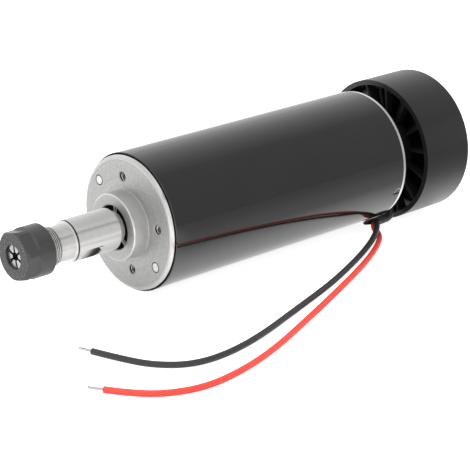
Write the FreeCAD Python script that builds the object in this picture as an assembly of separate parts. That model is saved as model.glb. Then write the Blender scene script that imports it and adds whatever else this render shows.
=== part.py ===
import FreeCAD, Part
import math
import os

from FreeCAD import Vector

# Brushed spindle motor with a collet nose, a cast front bell and a hooded rear fan.
# Millimetres. The axis of rotation is X, the nose points to -X, +Z is up.
# The origin is the centre of the front mounting face.

# Motor body
body_d = 52.0
body_l = 116.7
tube_wall = 2.5
tube_edge_chamfer = 0.3

# Front bell
face_flange_t = 1.7
flange_step = 0.65
flange_edge_round = 1.3
front_spigot_l = 7.5
boss_d = 25.2
boss_l = 6.6
boss_root_fill = 0.25
boss_edge_chamfer = 0.35
front_opening_d = 16.5
front_lip_t = 1.4
mount_pcd = 35.0
mount_tap_d = 3.3
mount_tap_depth = 6.5
mount_mouth_chamfer = 0.35
mount_phase_deg = 82.5
mount_count = 4

# Through bolts that clamp both bells to the tube
bolt_tube_gap = 3.2
bolt_d = 3.5
bolt_hole_clear = 0.2
bolt_phase_deg = 38.3
bolt_head_d = 6.0
bolt_head_l = 2.4
bolt_slot_w = 0.8

# Rear bell
rear_flange_t = 1.7
rear_flange_step = 0.2
rear_edge_chamfer = 0.4
rear_spigot_l = 9.0
rear_boss_d = 26.0
rear_lip_t = 3.0
rear_opening_d = 13.0
rear_bearing_inset = 2.4

# Ball bearings, one in each bell
bearing_bore = 8.0
bearing_od = 22.0
bearing_w = 7.0
race_t = 2.1
clip_t = 1.2
clip_gap_w = 4.0
washer_t = 0.5
ball_d = 3.9
ball_count = 7
race_groove_clear = 0.06
cage_t = 1.2
cage_w = 5.0
groove_facets = 4
ball_bands = 6

# Rotor
shaft_d = 11.0
journal_round = 0.3
shaft_tail = 1.2
air_gap = 0.78
core_front_gap = 19.0
slot_count = 12
core_yoke_t = 4.4
tooth_w = 2.5
tooth_tip_t = 1.4
slot_mouth_w = 1.6
end_turn_l = 8.0
end_turn_set = 1.5
end_turn_chamfer = 2.5
wire_clear = 0.35
comm_d = 22.0
comm_l = 11.0
comm_gap = 5.0
comm_bars = 24
comm_groove_w = 0.5
comm_hub_wall = 2.2

# Magnets
magnet_t = 5.2
magnet_span_deg = 138.0
magnet_overhang = 5.0

# Brushes
brush_x_w = 5.0
brush_y_w = 7.0
brush_face_gap = 0.15
brush_play = 0.1
holder_wall = 0.8
holder_lift = 1.4
holder_tube_gap = 0.5
brush_plate_t = 3.0
brush_plate_opening_d = 26.0
spring_room = 4.05
spring_d = 4.2
spring_wire = 0.5
spring_turns = 4
spring_steps = 12
spring_sides = 6

# Collet nose
nose_gap = 1.9
nose_d = 15.6
nose_l = 19.9
nose_edge_chamfer = 0.5
nose_hub_d = 12.0
neck_d = 13.2
neck_l = 5.7
thread_d = 13.9
thread_l = 11.4
flat_across = 14.1
flat_l = 8.4
flat_inset = 8.2
flat_phase_deg = -137.0
shaft_socket_l = 15.5
taper_deg = 8.0
taper_l = 14.5
flat_corner_r = 3.5
relief_d = 7.2
relief_l = 3.5

# Collet
collet_d = 11.5
collet_l = 18.0
collet_bore_d = 3.175
collet_face_d = 8.6
collet_land_d = 10.5
collet_land_l = 1.75
collet_groove_d = 9.5
collet_groove_l = 1.85
collet_proud = 0.5
collet_front_cone_deg = 30.0
collet_slots = 6
collet_slot_w = 0.45
collet_web = 3.0
collet_phase_deg = 25.6

# Collet nut
nut_d = 18.9
nut_l = 12.2
nut_across = 17.0
nut_flat_l = 4.8
nut_phase_deg = 15.0
nut_recess = 0.9
nut_mouth_d = 9.0
nut_face_chamfer = 0.9
nut_rear_chamfer = 0.5
nut_lip_d = 10.6
nut_lip_offset = 0.35
nut_lip_end_gap = 0.3

# Rear fan and its hood
hood_gap = 9.1
hood_d = 57.2
hood_l = 24.6
hood_wall = 2.0
hood_edge_round = 1.2
hood_hub_wall = 1.4
hood_plate_t = 2.0
rib_count = 15
rib_t = 1.1
rib_phase_deg = 98.0
rib_set_back = 0.5
rib_slope_deg = 13.0
rib_rear_set = 5.6
grille_t = 2.2
grille_bar_t = 1.6
grille_ring_w = 2.2
grille_ring_d = 36.0
grille_disc_d = 18.0
grille_root = 1.0
hood_screw_d = 2.5
hood_screw_head_d = 4.6
hood_screw_head_t = 1.3
hood_screw_l = 4.6
hood_screw_pcd = 17.5
hood_screw_count = 3
fan_hood_gap = 2.1
fan_hub_d = 13.0
fan_blade_count = 11
fan_blade_t = 1.2
fan_plate_t = 1.5
fan_l = 11.0
fan_rib_gap = 2.4
fan_lean_deg = 12.0
fan_clip_d = 12.0
fan_clip_t = 0.8
fan_clip_groove = 0.5
fan_clip_grip = 0.7
fan_blade_root = 0.8

# Leads, their sleeve and grommet
lead_d = 2.3
lead_pitch = 2.4
lead_phase_deg = -119.0
lead_hole_edge = 0.5
sleeve_wall = 0.25
sleeve_inner_h = 2.6
sleeve_tube_gap = 0.35
sleeve_turn_set = 1.0
sleeve_hole_depth = 6.0
sleeve_mouth_set = 2.0
sleeve_tongue_l = 6.6
sleeve_sides = 5
sleeve_bias_set = 0.3
sleeve_bias_depth = 0.7
sleeve_bias_run = 0.9
tail_mouth_set = 1.5
grommet_wall = 0.6
grommet_lip = 0.7
grommet_lip_t = 0.8
tip_d = 1.1
tip_l = 5.6

# Named fits
fit_clear = 0.02
running_clear = 0.05
seat_clear = 0.04
loose_clear = 0.3

# Points of the two free leads, from the sleeve to the insulation's end
black_route = [
    (115.4, -14.576, -23.820),
    (112.9, -17.5, -24.0),
    (107.5, -22.0, -24.8),
    (101.0, -25.1, -26.75),
    (86.0, -33.2, -26.58),
    (60.5, -45.2, -26.05),
    (33.0, -55.3, -25.49),
    (6.0, -65.3, -24.94),
    (-13.5, -69.6, -24.54),
    (-28.0, -68.6, -24.24),
    (-38.0, -60.5, -24.04),
    (-43.2, -49.0, -23.93),
    (-46.6, -38.6, -23.86),
]
red_route = [
    (116.0, -12.477, -24.984),
    (113.8, -14.8, -26.5),
    (112.8, -18.6, -27.08),
    (107.5, -24.3, -27.0),
    (96.5, -31.8, -26.77),
    (80.5, -40.6, -26.46),
    (56.0, -52.4, -25.96),
    (29.5, -64.6, -25.42),
    (3.0, -76.4, -24.88),
    (-18.0, -83.0, -24.45),
    (-36.0, -85.2, -24.08),
    (-50.0, -80.6, -23.79),
    (-58.2, -72.4, -23.63),
    (-62.6, -65.4, -23.54),
]

# Places along the axis
body_r = body_d / 2
tube_front_x = face_flange_t
tube_rear_x = tube_front_x + body_l
tube_inner_r = body_r - tube_wall
spigot_r = tube_inner_r - fit_clear
boss_x = -boss_l
nose_rear_x = boss_x - nose_gap
nose_front_x = nose_rear_x - nose_l
thread_rear_x = nose_front_x - neck_l
mouth_x = thread_rear_x - thread_l
collet_shoulder_x = mouth_x - collet_proud
collet_face_x = collet_shoulder_x - collet_groove_l - collet_land_l
collet_rear_x = collet_face_x + collet_l
nut_face_x = collet_face_x - nut_recess
nut_rear_x = nut_face_x + nut_l
front_bearing_x = boss_x + front_lip_t
rear_flange_x = tube_rear_x + rear_flange_t
rear_bearing_x = rear_flange_x + rear_bearing_inset
rear_boss_x = rear_bearing_x + bearing_w + washer_t + rear_lip_t
rear_inside_x = tube_rear_x - rear_spigot_l
brush_plate_x = rear_inside_x - brush_plate_t
brush_x = brush_plate_x - holder_wall - brush_play - brush_x_w / 2
comm_front_x = brush_x - comm_l / 2
core_front_x = front_spigot_l + core_front_gap
core_rear_x = comm_front_x - comm_gap - end_turn_l
hood_front_x = rear_flange_x + hood_gap
hood_rear_x = hood_front_x + hood_l
rib_rear_x = hood_front_x + rib_rear_set
fan_front_x = rib_rear_x + fan_rib_gap
fan_rear_x = fan_front_x + fan_l
shaft_rear_x = fan_rear_x + fan_clip_t + shaft_tail
hood_r = hood_d / 2
hood_inner_r = hood_r - hood_wall
bolt_pcd = 2 * (tube_inner_r - bolt_tube_gap)
core_r = tube_inner_r - fit_clear - magnet_t - air_gap
slot_root_r = shaft_d / 2 + core_yoke_t
slot_top_r = core_r - tooth_tip_t
taper_slope = math.tan(math.radians(taper_deg))
seat_mouth_r = collet_d / 2 - collet_proud * taper_slope + seat_clear


def turned(profile):
    """Solid of revolution about X from (x, radius) corners."""
    corners = [Vector(x, 0, r) for x, r in profile]
    face = Part.Face(Part.makePolygon(corners + corners[:1]))
    return face.revolve(Vector(0, 0, 0), Vector(1, 0, 0), 360)


def rod(x0, x1, r):
    """Plain cylinder along the axis."""
    return Part.makeCylinder(r, x1 - x0, Vector(x0, 0, 0), Vector(1, 0, 0))


def ring(x0, x1, outer_r, inner_r):
    """Plain ring along the axis."""
    return turned([(x0, inner_r), (x1, inner_r), (x1, outer_r), (x0, outer_r)])


def polar(x, r, deg):
    """Point at a radius and an angle, counted from +Y towards +Z."""
    return Vector(x, r * math.cos(math.radians(deg)), r * math.sin(math.radians(deg)))


def turn(shape, deg):
    """Copy turned about the axis."""
    copy = shape.copy()
    copy.rotate(Vector(0, 0, 0), Vector(1, 0, 0), deg)
    return copy


def around(shape, count, phase_deg=0.0):
    """Copies spaced evenly about the axis."""
    return [turn(shape, phase_deg + 360.0 * i / count) for i in range(count)]


def drill(x0, x1, r, pitch_r, deg):
    """Cylinder parallel to the axis at a pitch radius."""
    return Part.makeCylinder(r, x1 - x0, polar(x0, pitch_r, deg), Vector(1, 0, 0))


def block(x0, x1, y0, y1, z0, z1):
    """Box between two corners."""
    return Part.makeBox(x1 - x0, y1 - y0, z1 - z0, Vector(x0, y0, z0))


def circle_edges(shape, x, r):
    """Round edges about the axis at a place and radius."""
    found = []
    for edge in shape.Edges:
        curve = edge.Curve
        if not hasattr(curve, "Radius"):
            continue
        if abs(curve.Radius - r) < 1e-4 and abs(curve.Center.x - x) < 1e-4:
            found.append(edge)
    return found


def save(name, shapes):
    """Write one node, a single solid or a group of separate ones."""
    shape = shapes if not isinstance(shapes, list) else Part.makeCompound(shapes)
    if not shape.isValid():
        raise ValueError(name + " is not a valid shape")
    shape.exportStep("parts/" + name + ".step")
    print("%-22s solids %2d  volume %9.1f" % (name, len(shape.Solids), shape.Volume))


# Motor tube
def motor_tube():
    tube = ring(tube_front_x, tube_rear_x, body_r, tube_inner_r)
    edges = circle_edges(tube, tube_front_x, body_r) + circle_edges(tube, tube_rear_x, body_r)
    return tube.makeChamfer(tube_edge_chamfer, edges)


# Cast front bell with its pilot boss
def front_bell():
    flange_r = body_r - flange_step
    seat_r = bearing_od / 2 + fit_clear
    opening_r = front_opening_d / 2
    boss_r = boss_d / 2
    bell = turned([
        (boss_x, opening_r),
        (boss_x + front_lip_t, opening_r),
        (boss_x + front_lip_t, seat_r),
        (front_spigot_l, seat_r),
        (front_spigot_l, spigot_r),
        (face_flange_t, spigot_r),
        (face_flange_t, flange_r),
        (0, flange_r),
        (0, boss_r + boss_root_fill),
        (-boss_root_fill, boss_r),
        (boss_x, boss_r),
    ])
    bell = bell.makeFillet(flange_edge_round, circle_edges(bell, 0, flange_r))
    rims = circle_edges(bell, boss_x, boss_r) + circle_edges(bell, boss_x, opening_r)
    bell = bell.makeChamfer(boss_edge_chamfer, rims)
    tap_r = mount_tap_d / 2
    cuts = []
    for i in range(mount_count):
        deg = mount_phase_deg + 360.0 * i / mount_count
        cuts.append(drill(0, mount_tap_depth, tap_r, mount_pcd / 2, deg))
        mouth = Part.makeCone(tap_r + mount_mouth_chamfer, tap_r, mount_mouth_chamfer,
                              polar(0, mount_pcd / 2, deg), Vector(1, 0, 0))
        cuts.append(mouth)
    for side in range(2):
        deg = bolt_phase_deg + 180 * side
        cuts.append(drill(boss_x, front_spigot_l, bolt_d / 2 + bolt_hole_clear, bolt_pcd / 2, deg))
    return bell.cut(cuts)


# Rear bell with the bearing boss
def rear_bell():
    flange_r = body_r - rear_flange_step
    seat_r = bearing_od / 2 + fit_clear
    boss_r = rear_boss_d / 2
    lip_x = rear_bearing_x + bearing_w + washer_t
    bell = turned([
        (rear_inside_x, seat_r),
        (lip_x, seat_r),
        (lip_x, rear_opening_d / 2),
        (rear_boss_x, rear_opening_d / 2),
        (rear_boss_x, boss_r),
        (rear_flange_x, boss_r),
        (rear_flange_x, flange_r),
        (tube_rear_x, flange_r),
        (tube_rear_x, spigot_r),
        (rear_inside_x, spigot_r),
    ])
    bell = bell.makeChamfer(rear_edge_chamfer, circle_edges(bell, rear_flange_x, flange_r))
    cuts = []
    for side in range(2):
        deg = bolt_phase_deg + 180 * side
        cuts.append(drill(rear_inside_x, rear_boss_x, bolt_d / 2 + bolt_hole_clear, bolt_pcd / 2, deg))
        cuts.append(drill(rear_flange_x, rear_boss_x, bolt_head_d / 2 + bolt_hole_clear, bolt_pcd / 2, deg))
    screw_depth = hood_screw_l - hood_plate_t
    for deg in screw_angles():
        cuts.append(drill(rear_boss_x - screw_depth, rear_boss_x, hood_screw_d / 2 + fit_clear,
                          hood_screw_pcd / 2, deg))
    hole_w = sleeve_outer_w() + 2 * grommet_wall
    hole_h = sleeve_outer_h() + 2 * grommet_wall
    cuts.append(flat_oval(hole_w, hole_h, rear_inside_x, rear_flange_x, lead_hole_r()))
    return bell.cut(cuts)


def screw_angles():
    """Angles of the hood screws, between the ribs."""
    start = rib_phase_deg + 180.0 / rib_count
    return [start + 360.0 * i / hood_screw_count for i in range(hood_screw_count)]


# Through bolts, plain ends flush with the front face, slotted heads on the rear bell
def through_bolts():
    bolts = []
    for side in range(2):
        deg = bolt_phase_deg + 180 * side
        shank = drill(0, rear_flange_x, bolt_d / 2, bolt_pcd / 2, deg)
        head = drill(rear_flange_x, rear_flange_x + bolt_head_l, bolt_head_d / 2, bolt_pcd / 2, deg)
        slot = block(rear_flange_x + bolt_head_l / 2, rear_flange_x + bolt_head_l,
                     bolt_pcd / 2 - bolt_head_d, bolt_pcd / 2 + bolt_head_d,
                     -bolt_slot_w / 2, bolt_slot_w / 2)
        bolts.append(shank.fuse(head).cut(turn(slot, deg)))
    return bolts


# Ball bearings
def groove(mid, pitch_r, land_r):
    """Corners of a race's groove, which follows the balls."""
    side = 1 if land_r > pitch_r else -1
    groove_r = ball_d / 2 + race_groove_clear
    reach = math.acos(abs(land_r - pitch_r) / groove_r)
    corners = []
    for i in range(groove_facets + 1):
        a = reach * (2 * i / groove_facets - 1)
        corners.append((mid + groove_r * math.sin(a), pitch_r + side * groove_r * math.cos(a)))
    return corners


def bearing_ball(mid, pitch_r):
    """One ball, turned from flat bands."""
    corners = []
    for i in range(ball_bands + 1):
        a = math.pi * i / ball_bands
        corners.append((-ball_d / 2 * math.cos(a), ball_d / 2 * math.sin(a)))
    ball = turned(corners)
    ball.translate(Vector(mid, pitch_r, 0))
    return ball


def bearing_parts(x):
    """Outer race, inner race, balls and cage of the bearing that starts at x."""
    mid = x + bearing_w / 2
    end = x + bearing_w
    outer_r = bearing_od / 2
    bore_r = bearing_bore / 2 + fit_clear / 2
    pitch_r = (bearing_od + bearing_bore) / 4
    outer_land = outer_r - race_t
    inner_land = bearing_bore / 2 + race_t
    outer = turned([(x, outer_r), (x, outer_land)] + groove(mid, pitch_r, outer_land)
                   + [(end, outer_land), (end, outer_r)])
    inner = turned([(x, bore_r), (x, inner_land)] + groove(mid, pitch_r, inner_land)
                   + [(end, inner_land), (end, bore_r)])
    balls = around(bearing_ball(mid, pitch_r), ball_count)
    cage = ring(mid - cage_w / 2, mid + cage_w / 2, pitch_r + cage_t / 2, pitch_r - cage_t / 2)
    half = ball_d / 2 + running_clear
    pocket = block(mid - half, mid + half, 0, outer_r, -half, half)
    return outer, inner, balls, cage.cut(around(pocket, ball_count))


# Spring washer that preloads the rear bearing
def preload_washer():
    x = rear_bearing_x + bearing_w
    return ring(x + seat_clear, x + washer_t - seat_clear, bearing_od / 2 - loose_clear,
                bearing_od / 2 - race_t)


# Ring that keeps the front bearing in its seat
def bearing_clip():
    x = front_bearing_x + bearing_w
    clip = ring(x + fit_clear, x + clip_t, bearing_od / 2 - fit_clear, bearing_od / 2 - race_t)
    gap = block(x, x + clip_t, 0, bearing_od, -clip_gap_w / 2, clip_gap_w / 2)
    return clip.cut(turn(gap, mount_phase_deg))


# Rotor shaft
def motor_shaft():
    journal_r = bearing_bore / 2
    front_shoulder_x = front_bearing_x + bearing_w
    core_r = shaft_d / 2
    shaft = turned([
        (nose_rear_x - shaft_socket_l, 0),
        (shaft_rear_x, 0),
        (shaft_rear_x, journal_r),
        (rear_bearing_x, journal_r),
        (rear_bearing_x, core_r),
        (front_shoulder_x, core_r),
        (front_shoulder_x, journal_r),
        (nose_rear_x - shaft_socket_l, journal_r),
    ])
    ends = circle_edges(shaft, shaft_rear_x, journal_r)
    ends += circle_edges(shaft, nose_rear_x - shaft_socket_l, journal_r)
    shaft = shaft.makeChamfer(journal_round, ends)
    clip_groove = ring(fan_rear_x, fan_rear_x + fan_clip_t, bearing_bore, journal_r - fan_clip_groove)
    return shaft.cut(clip_groove)


def slot_prism(x0, x1, inset):
    """Tapered bar that fills a winding slot, less a clearance."""
    low = slot_root_r + inset
    top = slot_top_r - inset
    spread = math.tan(math.pi / slot_count)
    root_w = low * spread - tooth_w / 2 - inset
    top_w = top * spread - tooth_w / 2 - inset
    corners = [Vector(x0, low, -root_w), Vector(x0, top, -top_w),
               Vector(x0, top, top_w), Vector(x0, low, root_w)]
    return Part.Face(Part.makePolygon(corners + corners[:1])).extrude(Vector(x1 - x0, 0, 0))


# Armature core with its winding slots
def armature_core():
    core = ring(core_front_x, core_rear_x, core_r, shaft_d / 2 + fit_clear)
    slot = slot_prism(core_front_x, core_rear_x, 0)
    mouth = block(core_front_x, core_rear_x, slot_root_r, body_r, -slot_mouth_w / 2, slot_mouth_w / 2)
    return core.cut(around(slot.fuse(mouth), slot_count))


# Windings: bars in the slots joined by bevelled end turns
def windings():
    inner_r = shaft_d / 2 + wire_clear
    outer_r = core_r - end_turn_set
    pieces = []
    ends = ((core_front_x - end_turn_l, core_front_x - wire_clear),
            (core_rear_x + wire_clear, core_rear_x + end_turn_l))
    for x0, x1 in ends:
        turns = ring(x0, x1, outer_r, inner_r)
        rims = circle_edges(turns, x0, outer_r) + circle_edges(turns, x1, outer_r)
        pieces.append(turns.makeChamfer(end_turn_chamfer, rims))
    bar = slot_prism(core_front_x - end_turn_l / 2, core_rear_x + end_turn_l / 2, wire_clear)
    pieces += around(bar, slot_count)
    return pieces[0].fuse(pieces[1:]).removeSplitter()


# Commutator bars on an insulating hub
def commutator_hub():
    return ring(comm_front_x, comm_front_x + comm_l, comm_d / 2 - comm_hub_wall - fit_clear,
                shaft_d / 2 + fit_clear)


def commutator_bars():
    outer_r = comm_d / 2
    shell = ring(comm_front_x, comm_front_x + comm_l, outer_r, outer_r - comm_hub_wall)
    groove = block(comm_front_x, comm_front_x + comm_l, 0, body_r, -comm_groove_w / 2, comm_groove_w / 2)
    return shell.cut(around(groove, comm_bars)).Solids


# Field magnets, two arcs bonded in the tube
def magnet(deg):
    outer_r = tube_inner_r - fit_clear
    face_x0 = core_front_x - magnet_overhang
    face_x1 = core_rear_x + magnet_overhang
    half = magnet_span_deg / 2
    inner_r = outer_r - magnet_t
    face = Part.makePolygon([Vector(face_x0, inner_r, 0), Vector(face_x1, inner_r, 0),
                             Vector(face_x1, outer_r, 0), Vector(face_x0, outer_r, 0),
                             Vector(face_x0, inner_r, 0)])
    arc = Part.Face(face).revolve(Vector(0, 0, 0), Vector(1, 0, 0), magnet_span_deg)
    return turn(arc, deg - half)


# Insulating plate that carries the brush holders
def brush_plate():
    plate = ring(brush_plate_x, rear_inside_x, spigot_r, brush_plate_opening_d / 2)
    cuts = []
    for side in range(2):
        deg = bolt_phase_deg + 180 * side
        cuts.append(drill(brush_plate_x, rear_inside_x, bolt_d / 2 + bolt_hole_clear, bolt_pcd / 2, deg))
    return plate.cut(cuts)


def brush_top_z():
    return holder_cap_z() - spring_room


def holder_cap_z():
    return tube_inner_r - holder_tube_gap - holder_wall


# One brush above the commutator; the other is its mirror image below
def brush():
    half_x = brush_x_w / 2
    half_y = brush_y_w / 2
    body = block(brush_x - half_x, brush_x + half_x, -half_y, half_y, 0, brush_top_z())
    return body.cut(rod(brush_x - brush_x_w, brush_x + brush_x_w, comm_d / 2 + brush_face_gap))


def brush_holder():
    inner_x = brush_x_w / 2 + brush_play
    inner_y = brush_y_w / 2 + brush_play
    low = comm_d / 2 + holder_lift
    top = holder_cap_z() + holder_wall
    outer = block(brush_x - inner_x - holder_wall, brush_x + inner_x + holder_wall,
                  -inner_y - holder_wall, inner_y + holder_wall, low, top)
    hollow = block(brush_x - inner_x, brush_x + inner_x, -inner_y, inner_y, low, holder_cap_z())
    return outer.cut(hollow).common(rod(0, rear_inside_x, tube_inner_r - holder_tube_gap / 2))


def brush_spring():
    """Coil of short straight runs between the brush and the holder's cap."""
    base = brush_top_z()
    inset = spring_wire / 2 + seat_clear
    rise = holder_cap_z() - base - 2 * inset
    coil_r = (spring_d - spring_wire) / 2
    count = spring_turns * spring_steps
    rings = []
    for i in range(count + 1):
        a = 2 * math.pi * i / spring_steps
        ring_points = []
        for k in range(spring_sides):
            b = 2 * math.pi * k / spring_sides
            r = coil_r + spring_wire / 2 * math.cos(b)
            z = base + inset + rise * i / count + spring_wire / 2 * math.sin(b)
            ring_points.append(Vector(brush_x + r * math.cos(a), r * math.sin(a), z))
        rings.append(ring_points)
    faces = [Part.Face(Part.makePolygon(end + end[:1])) for end in (rings[0], rings[-1])]
    for low, high in zip(rings, rings[1:]):
        for k in range(spring_sides):
            n = (k + 1) % spring_sides
            faces.append(Part.Face(Part.makePolygon([low[k], low[n], high[n], low[k]])))
            faces.append(Part.Face(Part.makePolygon([low[k], high[n], high[k], low[k]])))
    shell = Part.makeShell(faces)
    shell.sewShape()
    coil = Part.Solid(shell)
    return coil if coil.Volume > 0 else coil.reversed()


def below(shape):
    """The same piece under the axis."""
    return turn(shape, 180)


# Collet holder: nose, neck, thread land and the taper seat inside
def collet_holder():
    nose_r = nose_d / 2
    seat_end_x = mouth_x + taper_l
    relief_end_x = seat_end_x + relief_l
    socket_x = nose_rear_x - shaft_socket_l
    socket_r = bearing_bore / 2 + fit_clear / 2
    holder = turned([
        (mouth_x, seat_mouth_r),
        (seat_end_x, seat_mouth_r - taper_l * taper_slope),
        (seat_end_x, relief_d / 2),
        (relief_end_x, relief_d / 2),
        (relief_end_x, 0),
        (socket_x, 0),
        (socket_x, socket_r),
        (front_bearing_x, socket_r),
        (front_bearing_x, nose_hub_d / 2),
        (nose_rear_x, nose_hub_d / 2),
        (nose_rear_x, nose_r),
        (nose_front_x, nose_r),
        (nose_front_x, neck_d / 2),
        (thread_rear_x, neck_d / 2),
        (thread_rear_x, thread_d / 2),
        (mouth_x, thread_d / 2),
    ])
    rims = circle_edges(holder, nose_front_x, nose_r)
    holder = holder.makeChamfer(nose_edge_chamfer, rims)
    small = circle_edges(holder, nose_rear_x, nose_r) + circle_edges(holder, thread_rear_x, thread_d / 2)
    small += circle_edges(holder, mouth_x, thread_d / 2)
    holder = holder.makeChamfer(nose_edge_chamfer / 2, small)
    flat_x1 = nose_rear_x - flat_inset
    flat_x0 = flat_x1 - flat_l
    flats = []
    for side in range(2):
        cut = block(flat_x0 + flat_corner_r, flat_x1 - flat_corner_r, flat_across / 2, nose_d, -nose_d, nose_d)
        ends = [Part.makeCylinder(flat_corner_r, nose_d, Vector(x, flat_across / 2, 0), Vector(0, 1, 0))
                for x in (flat_x0 + flat_corner_r, flat_x1 - flat_corner_r)]
        flats.append(turn(cut.fuse(ends), flat_phase_deg + 180 * side))
    return holder.cut(flats)


# Spring collet, slotted in turn from both ends
def collet():
    cone = math.tan(math.radians(collet_front_cone_deg))
    face_r = collet_face_d / 2
    land_r = collet_land_d / 2
    land_x = collet_face_x + collet_land_l
    rear_r = collet_d / 2 - (collet_rear_x - collet_shoulder_x) * taper_slope
    blank = turned([
        (collet_face_x, collet_bore_d / 2),
        (collet_rear_x, collet_bore_d / 2),
        (collet_rear_x, rear_r),
        (collet_shoulder_x, collet_d / 2),
        (collet_shoulder_x, collet_groove_d / 2),
        (land_x, collet_groove_d / 2),
        (land_x, land_r),
        (collet_face_x + (land_r - face_r) / cone, land_r),
        (collet_face_x, face_r),
    ])
    half = collet_slot_w / 2
    front = block(collet_face_x, collet_rear_x - collet_web, 0, collet_d, -half, half)
    rear = block(collet_face_x + collet_web, collet_rear_x, 0, collet_d, -half, half)
    half_step = 90.0 / collet_slots
    slots = around(front, collet_slots, half_step)
    slots += around(rear, collet_slots, 3 * half_step)
    return turn(blank.cut(slots), collet_phase_deg - half_step)


# Collet nut with wrench flats and the offset lip that draws the collet out
def collet_nut():
    nut_r = nut_d / 2
    cone = math.tan(math.radians(collet_front_cone_deg))
    land_r = collet_land_d / 2 + seat_clear / math.cos(math.radians(collet_front_cone_deg))
    face_r = land_r - (collet_land_d - collet_face_d) / 2
    seat_end_x = collet_face_x + (land_r - face_r) / cone
    mouth_r = nut_mouth_d / 2
    lip_x0 = collet_face_x + collet_land_l + nut_lip_end_gap
    lip_x1 = collet_shoulder_x - nut_lip_end_gap
    bore_r = thread_d / 2 + running_clear
    nut = turned([
        (nut_face_x, mouth_r),
        (collet_face_x + (mouth_r - face_r) / cone, mouth_r),
        (seat_end_x, land_r),
        (lip_x0, land_r),
        (lip_x0, collet_groove_d / 2),
        (lip_x1, collet_groove_d / 2),
        (lip_x1, bore_r),
        (nut_rear_x, bore_r),
        (nut_rear_x, nut_r),
        (nut_face_x, nut_r),
    ])
    lip_hole = Part.makeCylinder(nut_lip_d / 2, lip_x1 - lip_x0, Vector(lip_x0, 0, nut_lip_offset),
                                 Vector(1, 0, 0))
    nut = nut.cut(lip_hole)
    nut = nut.makeChamfer(nut_rear_chamfer, circle_edges(nut, nut_rear_x, nut_r))
    nut = nut.makeChamfer(nut_face_chamfer, circle_edges(nut, nut_face_x, nut_r))
    flat_r = nut_across / 2
    floor_x = nut_face_x + nut_flat_l
    depth = nut_d
    front_x = nut_face_x - depth
    wedge = Part.makePolygon([Vector(front_x, flat_r, -depth), Vector(floor_x, flat_r, -depth),
                              Vector(floor_x + depth, flat_r + depth, -depth),
                              Vector(front_x, flat_r + depth, -depth),
                              Vector(front_x, flat_r, -depth)])
    flat = Part.Face(wedge).extrude(Vector(0, 0, 2 * depth))
    return nut.cut(around(flat, 6, nut_phase_deg))


# Fan hood: wall, ribs, hub and rear grille moulded in one
def fan_hood():
    hub_inner_r = rear_boss_d / 2 + fit_clear
    hub_outer_r = hub_inner_r + hood_hub_wall
    plate_x0 = rear_boss_x
    plate_x1 = plate_x0 + hood_plate_t
    wall = ring(hood_front_x, hood_rear_x, hood_r, hood_inner_r)
    rear_edge = circle_edges(wall, hood_rear_x, hood_r)
    wall = wall.makeFillet(hood_edge_round, rear_edge)
    hub_front_x = rear_flange_x + hood_gap / 2
    hub = ring(hub_front_x, plate_x1, hub_outer_r, hub_inner_r)
    plate = ring(plate_x0 + fit_clear, plate_x1, hub_outer_r, rear_opening_d / 2)
    slope = math.tan(math.radians(rib_slope_deg))
    rib_in_r = hub_outer_r - hood_hub_wall / 2
    rib_out_r = hood_inner_r + hood_wall / 2
    front_out_x = hood_front_x + rib_set_back
    front_in_x = front_out_x + (rib_out_r - rib_in_r) * slope
    rib_face = Part.makePolygon([Vector(front_in_x, rib_in_r, -rib_t / 2),
                                 Vector(rib_rear_x, rib_in_r, -rib_t / 2),
                                 Vector(rib_rear_x, rib_out_r, -rib_t / 2),
                                 Vector(front_out_x, rib_out_r, -rib_t / 2),
                                 Vector(front_in_x, rib_in_r, -rib_t / 2)])
    rib = Part.Face(rib_face).extrude(Vector(0, 0, rib_t))
    ribs = around(rib, rib_count, rib_phase_deg)
    grille_x = hood_rear_x - grille_t
    bar = block(grille_x, hood_rear_x - hood_edge_round, grille_disc_d / 2 - grille_root,
                hood_inner_r - grille_ring_w / 2, -grille_bar_t / 2, grille_bar_t / 2)
    bars = around(bar, rib_count, rib_phase_deg)
    disc = rod(grille_x, hood_rear_x, grille_disc_d / 2)
    mid_ring = ring(grille_x, hood_rear_x, grille_ring_d / 2 + grille_ring_w / 2,
                    grille_ring_d / 2 - grille_ring_w / 2)
    edge_ring = ring(grille_x, hood_rear_x - hood_edge_round, rib_out_r, hood_inner_r - grille_ring_w)
    hood = wall.fuse([hub, plate, disc, mid_ring, edge_ring] + ribs + bars).removeSplitter()
    holes = [drill(plate_x0, plate_x1, hood_screw_d / 2 + fit_clear, hood_screw_pcd / 2, deg)
             for deg in screw_angles()]
    return hood.cut(holes)


def hood_screws():
    screws = []
    plate_x1 = rear_boss_x + hood_plate_t
    for deg in screw_angles():
        shank = drill(plate_x1 - hood_screw_l, plate_x1, hood_screw_d / 2, hood_screw_pcd / 2, deg)
        head = drill(plate_x1, plate_x1 + hood_screw_head_t, hood_screw_head_d / 2, hood_screw_pcd / 2, deg)
        screws.append(shank.fuse(head))
    return screws


# Radial fan on the rear end of the shaft
def cooling_fan():
    hub_r = fan_hub_d / 2
    fan_r = hood_inner_r - fan_hood_gap
    bore_r = bearing_bore / 2 + fit_clear
    hub = ring(fan_front_x, fan_rear_x, hub_r, bore_r)
    plate = ring(fan_rear_x - fan_plate_t, fan_rear_x, fan_r, hub_r - fan_blade_root)
    blade = block(fan_front_x, fan_rear_x, 0, fan_r - hub_r + fan_blade_root, -fan_blade_t / 2, fan_blade_t / 2)
    blade.rotate(Vector(0, 0, 0), Vector(1, 0, 0), fan_lean_deg)
    blade.translate(Vector(0, hub_r - fan_blade_root, 0))
    blades = [b.common(rod(fan_front_x, fan_rear_x, fan_r)) for b in around(blade, fan_blade_count)]
    return plate.fuse([hub] + blades).removeSplitter()


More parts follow.
